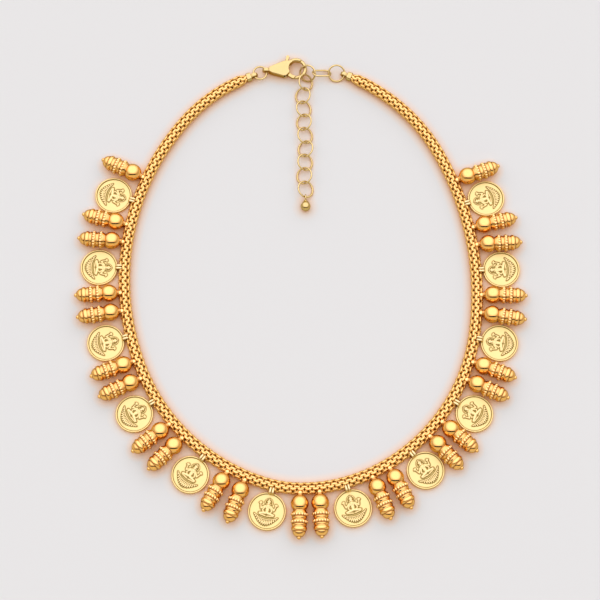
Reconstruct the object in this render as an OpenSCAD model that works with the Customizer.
// Temple coin necklace, lying on a surface with its clasp closed.
// The origin is the centre of the neck opening, on the surface. Sizes are in millimetres.

/* [Chain] */
// Width of the woven chain
chain_w = 4.1; // [3.6:0.1:4.8]
// Thickness of the woven chain
chain_t = 3.0; // [2.7:0.1:3.4]
// Length over which each end of the chain narrows
taper_l = 2.4; // [2:0.2:4]
// Width of the narrowed chain end
end_w = 2.1; // [1.9:0.1:2.5]
// Thickness of the narrowed chain end
end_t = 1.7; // [1.5:0.1:1.8]

/* [End caps] */
// Length of the cap that closes each chain end
cap_l = 1.7; // [1.5:0.1:2.5]
// Wall of the cap round the chain end
cap_wall = 0.4; // [0.3:0.05:0.5]
// Depth of the chain end inside the cap
cap_seat = 1.1; // [0.9:0.1:1.3]
// Outer diameter of the eyes on the caps and on the clasp's tail
eye_d = 2.7; // [2.5:0.1:3.2]
// Hole of the eyes
eye_hole = 1.5; // [1.3:0.05:1.7]
// Width of the eyes
eye_w = 1.3; // [1:0.1:1.6]

/* [Spacing of the pendants] */
// Distance from coin to coin along the chain
coin_pitch = 24.4; // [23.5:0.1:26]
// Distance between the two drops of a pair
pair_gap = 6.4; // [6.2:0.1:7]
// Distance from the last coin to the single drop at each end
end_gap = 9.0; // [8.5:0.5:12]
// Gap between the chain and a coin's rim
coin_gap = 0.45; // [0.3:0.05:0.7]
// Gap between the chain's edge and a drop's ball, at the ball's widest
ball_gap = 0.05; // [0:0.05:0.3]

/* [Bails] */
// Radius of a bail ring, to the middle of its wire
bail_r = 1.1; // [1.05:0.05:1.25]
// Wire of a bail ring
bail_wire = 0.62; // [0.5:0.02:0.7]
// Distance between the two rings of a coin's bail
bail_pair = 0.95; // [0.9:0.05:1.1]
// Height of the bail rings above the surface
bail_lift = 0.24; // [0.15:0.03:0.36]
// Distance of a bail's centre inside the chain's edge
bail_in = 0.15; // [0:0.05:0.3]

/* [Coins] */
// Diameter of a coin
coin_d = 12.9; // [11.5:0.1:13.5]
// Thickness of a coin at its raised rim
coin_t = 1.3; // [1.1:0.05:1.8]
// Height of the field below the rim
field_drop = 0.4; // [0.3:0.05:0.5]
// Width of the raised rim
rim_w = 0.6; // [0.45:0.05:0.9]
// Width of the line inside the rim
line_w = 0.35; // [0.2:0.05:0.5]

/* [Drops] */
// Diameter of a drop's ball
ball_d = 6.05; // [5.6:0.05:6.3]
// Diameter of the collar under the ball
collar_d = 4.7; // [4.2:0.1:5]
// Length of the collar, from the ball to the middle of the first tier
collar_l = 0.9; // [0.8:0.05:1.2]
// Diameter over the grains of the two beaded tiers
tier_d = 6.0; // [5.6:0.1:6.2]
// Distance from tier to tier
tier_pitch = 2.45; // [2.3:0.05:2.7]
// Diameter of the domed ring below the tiers
dome_d = 5.2; // [4.8:0.1:5.6]
// Length of the rounded end below the domed ring, with the bead at its tip
tip_l = 2.5; // [2:0.1:3.2]
// Diameter of the bead at the tip
tip_bead = 1.6; // [1.3:0.1:1.9]

/* [Rings and links] */
// Wire of the rings and links
ring_wire = 0.62; // [0.5:0.02:0.66]
// Outer diameter of the round links
ring_d = 6.4; // [6.1:0.05:6.8]
// Outer length of the oval link
oval_l = 7.2; // [6.9:0.05:7.6]
// Outer width of the oval link
oval_w = 4.12; // [3.9:0.05:4.4]

/* [Clasp] */
// Thickness of the clasp's body
clasp_t = 3.4; // [3.2:0.1:3.8]
// Length from the hook's centre to the tail's eye
clasp_l = 10.75; // [10.25:0.05:11.5]
// Width of the clasp's body
clasp_w = 5.9; // [5.5:0.1:6.3]
// Fall of the body's crowned faces from its middle to its edges
crown_drop = 0.45; // [0.2:0.05:0.6]
// Wire of the hook
hook_wire = 1.3; // [1.1:0.05:1.35]
// Height of the hook's root, where it leaves the body
root_h = 2.4; // [2:0.1:2.8]
// Radius of the hook, to the middle of its wire
hook_r = 3.3; // [3.25:0.05:3.5]
// Thickness of the lever
lever_t = 1.2; // [1:0.05:1.3]
// Pin that the lever turns on
pin_d = 0.8; // [0.7:0.02:1]
// Radial play of the lever's bore on the pin
pin_play = 0.06; // [0.03:0.01:0.09]

/* [Charm] */
// Diameter of the ball at the extender's end
charm_d = 3.5; // [3.2:0.1:3.9]
// Distance from the middle of the charm's ring to the middle of its ball
charm_l = 3.15; // [3:0.05:3.4]
// Diameter of the charm's neck where it runs into the ball
charm_neck = 2.4; // [1.8:0.1:2.6]
// Radius of the charm's ring, to the middle of its wire
charm_r = 1.0; // [0.95:0.05:1.15]

/* [Clearances] */
// Gap between pieces that lie in or round each other
gap = 0.12; // [0.1:0.01:0.16]

/* [Hidden] */
COINS = 12;
DROPS = 24;
GAPS = COINS - 1;
GRAINS = 12;
// Share of the room round a tier that its grains fill
GRAIN_FILL = 0.97;
FINE = 96;
ROUND = 48;
EXTENDER_LINKS = 8;
// Length and height of the low ridges where the chain's arcs join
JOINT_L = 0.5;
JOIN = 0.02;

// Length by which a cap runs into its eye
EYE_LAP = 0.2;

// Drop below its ball: depth of its core inside the grains in shares of a grain, depth of the
// grooves between its tiers, and half lengths of a tier and a groove in shares of the tier pitch
CORE_IN = 0.6;
GROOVE_IN = 0.3;
TIER_HALF = 0.4;
GROOVE_HALF = 0.1;
// Dome and rounded end: distance from the dome's middle in shares of the tier pitch, or from its
// foot in shares of the end's length, and depth below the dome's radius
ALONG = 0;
BELOW = 1;
DOME = [[-0.36, 0.2], [-0.15, 0], [0.1, 0], [0.32, 0.25], [0.4, 0.5]];
END = [[0.06, 0.35], [0.32, 0.5], [0.55, 1], [0.64, 1.7]];

// Route of the chain's centreline: arcs from its lowest point up each side, as radius and turn
RADIUS = 0;
TURN = 1;
ROUTE_LOW = [0.5, -66.4];
ROUTE_RIGHT = [[56, 28], [64.5, 53], [106, 37.5], [64.5, 39.8]];
ROUTE_LEFT = [[42.5, 18.5], [68, 48], [89.5, 63], [56.5, 30.5]];

// Slide of each coin along the chain from its even place, from the left end to the right
COIN_SLIDE = [0, 0, 0.5, 0.5, 1.5, 2.5, 3, 3, 1.5, 0.5, 0.5, 0.5];

// Lean of each drop from square to the chain in degrees, from the left end to the right
DROP_LEAN = [-0.7, -1.6, 3.1, -0.6, 0.6, 0.2, 0.4, -2.3, -1.5, -2.4, 1.5, -0.9,
             -3.4, -2.2, -3.6, -2.7, -3.1, -1.9, -3.9, -4.6, -0.3, -6, 0.5, -3];

// Links at the clasp: place from the piece before and height, in shares of a round link's
// radius, and turns about x, y and z
END_RING_STEP = [-0.95, 0.13];
END_RING_Z = 0.62;
END_RING_TURN = [28, 0, 0];
OVAL_STEP = [-1.8379, -0.0487];
OVAL_Z = 0.79;
OVAL_TURN = [-34.1, 15.1, 6.7];
CATCH_STEP = [-1.7509, 0.0062];
CATCH_Z = 0.708;
CATCH_TURN = [29.1, -18.6, -10.6];
HOOK_STEP = [-1.4252, 0.6315];
FIRST_STEP = [-0.2429, -1.2179];
FIRST_Z = 0.72;
FIRST_TURN = [-37.1, 4.3, -91.1];

// Extender below them: step to its first link, lean of each step to the right in degrees,
// and the roll of its links to one side and the other
EXTENDER_STEP = [-0.338, -1.6821];
EXTENDER_LEAN = [3, 1.5, 4, 2, -2, -3, 5, 0];
LINK_ROLL = 30;

// Width of the charm's neck at its ring, in wires
NECK_SHARE = 1.5;

// Outline of the clasp's body, along and across from the hook's centre, in shares of its
// length and width
BODY_OUTLINE = [
    [-0.907, -0.212], [-0.81, -0.314], [-0.595, -0.424], [-0.428, -0.517], [-0.326, -0.5],
    [-0.205, -0.271], [-0.167, 0], [-0.112, 0.39], [-0.149, 0.542], [-0.26, 0.483],
    [-0.41, 0.466], [-0.595, 0.314], [-0.81, 0.127], [-0.907, 0.042]];
// Outline of the slot for the lever, in the same shares
SLOT_OUTLINE = [
    [-0.553, -0.203], [-0.553, 0.847], [-0.186, 0.847], [-0.256, 0.373], [-0.167, 0.203],
    [0, -0.17], [0, -0.763], [-0.298, -0.763], [-0.456, -0.39]];
TAIL_ACROSS = -0.085;
PIVOT = [-0.395, -0.05];
NUB = [-0.28, 0.765];
// Angles round the hook's centre: end of its root, start of its wire, gate's root and tip
ROOT_FROM = 60;
ROOT_TO = 150;
WIRE_TO = 70;
WIRE_FROM = -105;
GATE_ROOT = -140;
GATE_TIP = -97;

chain_z = JOIN + chain_t / 2;
coin_out = chain_w / 2 + coin_gap + coin_d / 2;
ball_out = chain_w / 2 + ball_gap + ball_d / 2;
bail_out = chain_w / 2 - bail_in;
bail_z = bail_lift + bail_wire / 2 + bail_r;
ring_r = (ring_d - ring_wire) / 2;
link_pitch = 2 * ring_r - ring_wire - gap;
cap_start = eye_d / 2 - EYE_LAP;
end_reach = cap_start + cap_l - cap_seat + gap;
grain_step = GRAIN_FILL * sin(180 / GRAINS);
grain_d = tier_d * grain_step / (1 + grain_step);
tier_at = ball_d / 2 + collar_l;
dome_at = tier_at + 2 * tier_pitch;
end_at = dome_at + tier_pitch * TIER_HALF;
tip_at = end_at + tip_l - tip_bead / 2;

function arc_length(arc) = arc[RADIUS] * arc[TURN] * PI / 180;
function route_length(arcs, i = 0) =
    i == len(arcs) ? 0 : arc_length(arcs[i]) + route_length(arcs, i + 1);
function turned(arcs, count, i = 0) =
    i == count ? 0 : arcs[i][TURN] + turned(arcs, count, i + 1);

// Step along a circle of radius r from heading a to heading b
function chord(r, a, b) = r * [sin(b) - sin(a), cos(a) - cos(b)];

// Place and heading at a distance s along a run of arcs
function walk(arcs, s, i = 0, at = [0, 0], heading = 0) =
    let(arc = arcs[i], reach = arc_length(arc), last = i == len(arcs) - 1)
    s <= reach || last
        ? let(turn = s / arc[RADIUS] * 180 / PI)
          [at + chord(arc[RADIUS], heading, heading + turn), heading + turn]
        : walk(arcs, s - reach, i + 1,
               at + chord(arc[RADIUS], heading, heading + arc[TURN]), heading + arc[TURN]);

// Distance of each coin and drop from the chain's lowest point, negative to the left
coin_at = [for (k = [0:COINS - 1]) coin_pitch * (k - GAPS / 2) + COIN_SLIDE[k]];
pair_at = [for (k = [0:GAPS - 1]) (coin_at[k] + coin_at[k + 1]) / 2];
drop_at = concat(
    [coin_at[0] - end_gap],
    [for (middle = pair_at) each [middle - pair_gap / 2, middle + pair_gap / 2]],
    [coin_at[COINS - 1] + end_gap]);

// Ends of the route, where the eyes of the end caps are
function route_end(arcs, side) =
    let(tip = walk(arcs, route_length(arcs))[0])
    [ROUTE_LOW.x + side * tip.x, ROUTE_LOW.y + tip.y];
eye_left = route_end(ROUTE_LEFT, -1);
eye_right = route_end(ROUTE_RIGHT, 1);

// Places of the links from the right eye to the hook, and down the extender
function stepped(from, step, z) = [from.x + ring_r * step.x, from.y + ring_r * step.y, ring_r * z];
end_ring_at = stepped(eye_right, END_RING_STEP, END_RING_Z);
oval_at = stepped(end_ring_at, OVAL_STEP, OVAL_Z);
catch_at = stepped(oval_at, CATCH_STEP, CATCH_Z);
first_at = stepped(catch_at, FIRST_STEP, FIRST_Z);
hook_at = [catch_at.x + ring_r * HOOK_STEP.x, catch_at.y + ring_r * HOOK_STEP.y];
extender_z = ring_wire / 2 + ring_r * sin(LINK_ROLL);
function extender_at(k) =
    k == 0 ? stepped(first_at, EXTENDER_STEP, extender_z / ring_r)
           : extender_at(k - 1) + link_pitch * [sin(EXTENDER_LEAN[k - 1]), -cos(EXTENDER_LEAN[k - 1]), 0];
function extender_heading(k) = EXTENDER_LEAN[k] - 90;

// Places on the clasp, from the hook's centre
function on_clasp(share) = [clasp_l * share.x, clasp_w * share.y];
pivot = on_clasp(PIVOT);
tail_eye = hook_at + on_clasp([-1, TAIL_ACROSS]);
gate_reach = norm(hook_r * [cos(GATE_TIP), sin(GATE_TIP)] - pivot);
slot_t = lever_t + 2 * gap;
boss_d = 3 * pin_d;
gate_w = hook_wire - gap / 2;

function two_digits(n) = n < 10 ? str("0", n) : str(n);
COIN_NAMES = [for (k = [1:COINS]) str("coin_", two_digits(k))];
DROP_NAMES = [for (k = [1:DROPS]) str("drop_", two_digits(k))];

// Places its children on the chain's centreline: x runs along the chain to the right, -y outwards
module on_route(s) {
    spot = walk(s < 0 ? ROUTE_LEFT : ROUTE_RIGHT, abs(s));
    side = s < 0 ? -1 : 1;
    translate([ROUTE_LOW.x + side * spot[0].x, ROUTE_LOW.y + spot[0].y, 0])
        rotate(side * spot[1]) children();
}

// Corners of the chain's rounded section, w by t, with flats at the top and bottom
SECTION_SIDES = 16;
SECTION_POWER = 0.78;
function rounded(value) = sign(value) * pow(abs(value), SECTION_POWER);
function section(w, t) =
    let(fit = 1 / rounded(cos(90 / (SECTION_SIDES / 2))))
    [for (k = [0:SECTION_SIDES - 1])
        let(a = (k + 0.5) * 360 / SECTION_SIDES)
        [w / 2 * fit * rounded(cos(a)), t / 2 * fit * rounded(sin(a))]];

// Corners of a bar with round ends from p to q
BAR_STEPS = 4;
function bar(p, q, d) =
    let(a = atan2(q.y - p.y, q.x - p.x))
    concat(
        [for (k = [0:BAR_STEPS]) q + d / 2 * [cos(a - 90 + k * 180 / BAR_STEPS),
                                              sin(a - 90 + k * 180 / BAR_STEPS)]],
        [for (k = [0:BAR_STEPS]) p + d / 2 * [cos(a + 90 + k * 180 / BAR_STEPS),
                                              sin(a + 90 + k * 180 / BAR_STEPS)]]);

module torus(r, wire) {
    rotate_extrude($fn = FINE) translate([r, 0]) circle(d = wire, $fn = ROUND);
}

// Straight piece of the chain along x
module chain_piece(length, w, t) {
    translate([0, 0, chain_z]) rotate([90, 0, 90]) linear_extrude(length) polygon(section(w, t));
}

// Low ridge that joins two arcs of the chain
module chain_joint() {
    translate([-JOINT_L / 2, 0, 0]) chain_piece(JOINT_L, chain_w + 2 * JOIN, chain_t + 2 * JOIN);
}

// Arcs of one side of the chain, swept from its lowest point over a given length
module chain_arcs(arcs, length) {
    for (i = [0:len(arcs) - 1]) {
        from = route_length([for (k = [0:1:i - 1]) arcs[k]]);
        start = walk(arcs, from);
        heading = turned(arcs, i);
        r = arcs[i][RADIUS];
        turn = min(arcs[i][TURN], (length - from) / r * 180 / PI);
        translate([start[0].x - r * sin(heading), start[0].y + r * cos(heading), chain_z])
            rotate(heading - 90) rotate_extrude(angle = turn, $fn = 4 * FINE)
            translate([r, 0]) polygon(section(chain_w, chain_t));
        if (i > 0) translate([start[0].x, start[0].y, 0]) rotate(heading) chain_joint();
    }
}

// Outline that narrows from a full width to an end width, and then runs straight to its reach
module taper_outline(full, end, reach) {
    wide = full / 2 + gap;
    polygon([[0, -wide], [0, wide], [taper_l, end / 2], [reach, end / 2],
             [reach, -end / 2], [taper_l, -end / 2]]);
}

// Narrowed end of the chain from x = 0: a taper and then the stretch that sits in the cap
module chain_taper() {
    reach = taper_l + cap_seat;
    intersection() {
        chain_piece(reach, chain_w, chain_t);
        linear_extrude(2 * chain_t) taper_outline(chain_w, end_w, reach);
        translate([0, chain_w, chain_z]) rotate([90, 0, 0])
            linear_extrude(2 * chain_w) taper_outline(chain_t, end_t, reach);
    }
}

// One side of the chain from the lowest point, to the right
module chain_side(arcs) {
    swept = route_length(arcs) - end_reach - cap_seat - taper_l;
    chain_arcs(arcs, swept);
    tip = walk(arcs, swept);
    translate([tip[0].x, tip[0].y, 0]) rotate(tip[1]) {
        chain_joint();
        chain_taper();
    }
}

// Room round the bail that hooks through the chain's outer edge
module bail_channel(width) {
    translate([0, -bail_out, bail_z]) rotate([0, 90, 0]) difference() {
        cylinder(r = bail_r + bail_wire / 2 + gap, h = width + 2 * gap, center = true, $fn = ROUND);
        cylinder(r = bail_r - bail_wire / 2 - gap, h = width + 4 * gap, center = true, $fn = ROUND);
    }
}

module woven_chain() {
    color("goldenrod") difference() {
        translate([ROUTE_LOW.x, ROUTE_LOW.y, 0]) {
            chain_side(ROUTE_RIGHT);
            mirror([1, 0, 0]) chain_side(ROUTE_LEFT);
            chain_joint();
        }
        for (s = drop_at) on_route(s) bail_channel(bail_wire);
        for (s = coin_at) on_route(s) bail_channel(bail_wire + bail_pair);
    }
}

// Bail ring that stands across the chain's outer edge
module bail_ring() {
    translate([0, -bail_out, bail_z]) rotate([0, 90, 0]) torus(bail_r, bail_wire);
}

// Upright eye, its hole along y
module eye(width) {
    rotate([90, 0, 0]) cylinder(d = eye_d, h = width, center = true, $fn = ROUND);
}
module eye_bore(width) {
    rotate([90, 0, 0]) cylinder(d = eye_hole, h = 2 * width, center = true, $fn = ROUND);
}

// Cap on a chain end that lies towards -x, with its eye at the origin
module end_cap() {
    translate([0, 0, chain_z]) difference() {
        union() {
            eye(eye_w);
            translate([-cap_start - cap_l, 0, 0]) rotate([90, 0, 90]) linear_extrude(cap_l)
                polygon(section(end_w + 2 * gap + 2 * cap_wall, end_t + 2 * gap + 2 * cap_wall));
        }
        eye_bore(eye_w);
        translate([-cap_start - cap_l - cap_seat, -end_w / 2 - gap, -end_t / 2 - gap])
            cube([2 * cap_seat, end_w + 2 * gap, end_t + 2 * gap]);
    }
}
module end_cap_left() {
    color("gold") on_route(-route_length(ROUTE_LEFT)) rotate(180) end_cap();
}
module end_cap_right() {
    color("gold") on_route(route_length(ROUTE_RIGHT)) end_cap();
}

// Seated figure on a lotus, as raised bars: from x, y to x, y, width and height, each a share
// of the coin's radius or of the field's depth. Bars beside the middle are drawn on both sides.
X1 = 0;
Y1 = 1;
X2 = 2;
Y2 = 3;
WIDE = 4;
HIGH = 5;
FIGURE = [
    [0.16, 0.33, 0.31, 0.2, 0.1, 0.7],
    [0.31, 0.2, 0.37, 0.4, 0.09, 0.75],
    [0.14, 0.28, 0.25, 0.08, 0.1, 0.65],
    [0.02, 0.02, 0.36, -0.05, 0.14, 0.55],
    [0.36, -0.05, 0.1, -0.16, 0.13, 0.6],
    [0.44, 0.44, 0.44, 0.48, 0.13, 0.5]];
BODY = [[-0.17, 0.36], [0.17, 0.36], [0.12, 0.2], [0.14, 0.02], [-0.14, 0.02], [-0.12, 0.2]];
BODY_HIGH = 0.8;
CROWN = [[-0.11, 0.53], [0.11, 0.53], [0.05, 0.63], [0, 0.72], [-0.05, 0.63]];
CROWN_HIGH = 0.85;
HEAD_AT = 0.47;
HEAD_R = 0.115;
HALO_R = 0.24;
HALO_W = 0.05;
HALO_HIGH = 0.45;
PETALS = 4;
PETAL_W = 0.15;
PETAL_SPREAD = 0.17;
PETAL_LEAN = 0.8;
PETAL_CURVE = 0.4;
PETAL_TOP = -0.24;
PETAL_LOW = -0.52;
PETAL_RISE = 0.035;
PETAL_HIGH = 0.5;
LINE_HIGH = 0.65;
LOTUS = [[-0.64, -0.2], [-0.5, -0.27], [0.5, -0.27], [0.64, -0.2], [0.55, -0.34], [-0.55, -0.34]];
LOTUS_HIGH = 0.9;

module raised(share) {
    translate([0, 0, coin_t - field_drop - gap / 2])
        linear_extrude(field_drop * share + gap / 2) scale(coin_d / 2) children();
}

module figure_half() {
    for (f = FIGURE)
        raised(f[HIGH]) polygon(bar([f[X1], f[Y1]], [f[X2], f[Y2]], f[WIDE]));
    for (k = [0:PETALS - 1]) {
        across = (k + 0.5) * PETAL_SPREAD;
        raised(PETAL_HIGH + k * PETAL_RISE)
            polygon(bar([across * PETAL_LEAN, PETAL_LOW + across * across * PETAL_CURVE],
                        [across, PETAL_TOP], PETAL_W));
    }
}

module figure() {
    figure_half();
    mirror([1, 0, 0]) figure_half();
    raised(BODY_HIGH) polygon(BODY);
    raised(CROWN_HIGH) polygon(CROWN);
    raised(LOTUS_HIGH) polygon(LOTUS);
    raised(HALO_HIGH) translate([0, HEAD_AT + HEAD_R / 3]) difference() {
        circle(r = HALO_R, $fn = ROUND);
        circle(r = HALO_R - HALO_W, $fn = ROUND);
    }
    raised(1) translate([0, HEAD_AT]) circle(r = HEAD_R, $fn = ROUND);
}

// Raised ring of a given width whose outer radius is r
module coin_ring(r, width, top) {
    foot = coin_t / 4;
    rotate_extrude($fn = FINE) translate([r - width, foot]) square([width, top - foot]);
}

module coin(s) {
    color("khaki") on_route(s) {
        for (side = [-1, 1]) translate([side * bail_pair / 2, 0, 0]) bail_ring();
        translate([0, -coin_out, 0]) {
            cylinder(d = coin_d, h = coin_t - field_drop, $fn = FINE);
            coin_ring(coin_d / 2, rim_w, coin_t);
            coin_ring(coin_d / 2 - 2 * rim_w, line_w, coin_t - field_drop * (1 - LINE_HIGH));
            figure();
        }
    }
}

// Profile of a drop below its ball, as radius and distance from the ball's centre
function drop_core() =
    let(core = tier_d / 2 - CORE_IN * grain_d,
        tier = tier_pitch * TIER_HALF,
        groove = tier_pitch * GROOVE_HALF)
    concat(
        [[0, 0], [collar_d / 2, 0], [collar_d / 2, tier_at - tier], [core, tier_at - tier]],
        [for (middle = [tier_at + tier_pitch / 2, dome_at - tier_pitch / 2])
            each [[core, middle - groove], [collar_d / 2 - GROOVE_IN, middle], [core, middle + groove]]],
        [for (d = DOME) [dome_d / 2 - d[BELOW], dome_at + d[ALONG] * tier_pitch]],
        [for (e = END) [dome_d / 2 - e[BELOW], end_at + e[ALONG] * tip_l]],
        [[0, tip_at]]);

module drop_body() {
    sphere(d = ball_d, $fn = FINE);
    rotate([90, 0, 0]) {
        rotate_extrude($fn = FINE) polygon(drop_core());
        translate([0, 0, tip_at]) sphere(d = tip_bead, $fn = ROUND);
        for (tier = [0, 1], k = [0:GRAINS - 1])
            rotate((k + tier / 2) * 360 / GRAINS)
            translate([tier_d / 2 - grain_d / 2, 0, tier_at + tier * tier_pitch])
            sphere(d = grain_d, $fn = ROUND);
    }
}

module drop(s, lean) {
    color("gold") on_route(s) {
        bail_ring();
        translate([0, -bail_out, ball_d / 2]) rotate(lean)
            translate([0, bail_out - ball_out, 0]) drop_body();
    }
}

// Flat link round the origin, long along x, of an outer length and width
module link(length, width) {
    r = (width - ring_wire) / 2;
    half = (length - width) / 2;
    for (side = [0, 1]) mirror([side, 0, 0]) translate([half, 0, 0])
        rotate(-90) rotate_extrude(angle = 180, $fn = FINE)
        translate([r, 0]) circle(d = ring_wire, $fn = ROUND);
    for (side = [-1, 1]) translate([0, side * r, 0]) rotate([0, 90, 0])
        cylinder(d = ring_wire, h = 2 * half, center = true, $fn = ROUND);
}

// Puts a link at a place of the list, turned about x, then y, then z
module placed(at, turn) {
    translate(at) rotate(turn) children();
}

module extender_ring() {
    color("gold") placed(end_ring_at, END_RING_TURN) torus(ring_r, ring_wire);
}

module extender_chain() {
    color("gold") {
        placed(oval_at, OVAL_TURN) link(oval_l, oval_w);
        placed(catch_at, CATCH_TURN) torus(ring_r, ring_wire);
        placed(first_at, FIRST_TURN) torus(ring_r, ring_wire);
        for (k = [0:EXTENDER_LINKS - 1])
            placed(extender_at(k), [LINK_ROLL * (k % 2 == 0 ? 1 : -1), 0, extender_heading(k)])
            torus(ring_r, ring_wire);
    }
}

module end_charm() {
    last = extender_at(EXTENDER_LINKS - 1);
    reach = ring_r - ring_wire - gap;
    ring_at = [last.x, last.y - reach - charm_r, last.z];
    neck_from = charm_r - ring_wire / 4;
    neck_to = charm_l - sqrt(charm_d * charm_d - charm_neck * charm_neck) / 2;
    color("gold") {
        translate(ring_at) rotate([0, 90, 0]) torus(charm_r, ring_wire);
        translate([last.x, ring_at.y - neck_from, charm_d / 2]) rotate([90, 0, 0])
            cylinder(d1 = ring_wire * NECK_SHARE, d2 = charm_neck, h = neck_to - neck_from, $fn = ROUND);
        translate([last.x, ring_at.y - charm_l, charm_d / 2]) sphere(d = charm_d, $fn = FINE);
    }
}

// Jump ring from the left cap's eye to the eye on the clasp's tail
module clasp_ring() {
    color("gold") translate([(eye_left.x + tail_eye.x) / 2, (eye_left.y + tail_eye.y) / 2,
                             (chain_z + clasp_t / 2) / 2])
        torus(norm(tail_eye - eye_left) / 2, ring_wire);
}

// Arc of the hook or the gate round the hook's centre, of a given section
module hook_arc(from, to) {
    rotate(from) rotate_extrude(angle = to - from, $fn = FINE) translate([hook_r, 0]) children();
}

// Round bar whose top is the clasp's upper face for -1, and whose bottom is its lower face for 1
module clasp_crown(side) {
    half = clasp_w / 2;
    crown_r = (half * half + crown_drop * crown_drop) / (2 * crown_drop);
    translate([0, 0, side * (crown_r - clasp_t / 2)]) rotate([0, 90, 0])
        cylinder(r = crown_r, h = 4 * clasp_l, center = true, $fn = 2 * FINE);
}

// Body's outline between its two crowned faces
module clasp_shell() {
    intersection() {
        translate([0, 0, -clasp_t]) linear_extrude(2 * clasp_t)
            polygon([for (p = BODY_OUTLINE) on_clasp(p)]);
        clasp_crown(1);
        clasp_crown(-1);
    }
}

// Body with its hook and tail, its middle plane at z = 0
module clasp_form() {
    difference() {
        union() {
            difference() {
                clasp_shell();
                cylinder(r = hook_r - hook_wire / 2, h = 2 * clasp_t, center = true, $fn = FINE);
            }
            hook_arc(ROOT_FROM, ROOT_TO)
                polygon(bar([0, hook_wire / 2 - root_h / 2], [0, root_h / 2 - hook_wire / 2],
                            hook_wire + 2 * JOIN));
            translate(on_clasp([-1, TAIL_ACROSS])) eye(eye_w);
        }
        translate([0, 0, -slot_t / 2]) linear_extrude(slot_t)
            polygon([for (p = SLOT_OUTLINE) on_clasp(p)]);
        translate(on_clasp([-1, TAIL_ACROSS])) eye_bore(eye_w);
    }
    translate(pivot) cylinder(d = pin_d, h = slot_t + lever_t / 2, center = true, $fn = ROUND);
    difference() {
        hook_arc(WIRE_FROM, WIRE_TO) circle(d = hook_wire, $fn = ROUND);
        translate(pivot)
            cylinder(r = gate_reach + gap, h = 2 * hook_wire, center = true, $fn = FINE);
    }
}

module at_clasp() {
    translate([hook_at.x, hook_at.y, clasp_t / 2]) children();
}

module clasp_body() {
    color("gold") at_clasp() clasp_form();
}

// Outline of the gate: a stretch of the hook's ring, ended by an arc round the pin
module gate_outline() {
    far = 2 * hook_r;
    intersection() {
        difference() {
            circle(r = hook_r + gate_w / 2, $fn = FINE);
            circle(r = hook_r - gate_w / 2, $fn = FINE);
        }
        polygon(concat([[0, 0]], [for (a = [GATE_ROOT, (GATE_ROOT - 90) / 2, -90]) far * [cos(a), sin(a)]]));
        translate(pivot) circle(r = gate_reach, $fn = FINE);
    }
}

module clasp_lever() {
    nub = on_clasp(NUB);
    color("gold") at_clasp() translate([0, 0, -lever_t / 2]) linear_extrude(lever_t) difference() {
        union() {
            translate(pivot) circle(d = boss_d, $fn = ROUND);
            polygon(bar(pivot, hook_r * [cos(GATE_ROOT), sin(GATE_ROOT)], gate_w));
            polygon(bar(pivot, nub, gate_w - gap));
            translate(nub) circle(d = hook_wire, $fn = ROUND);
            gate_outline();
        }
        translate(pivot) circle(d = pin_d + 2 * pin_play, $fn = ROUND);
    }
}

woven_chain();
end_cap_left();
end_cap_right();
clasp_ring();
clasp_body();
clasp_lever();
extender_ring();
extender_chain();
end_charm();
for (k = [0:COINS - 1]) coin(coin_at[k]);
for (k = [0:DROPS - 1]) drop(drop_at[k], DROP_LEAN[k]);
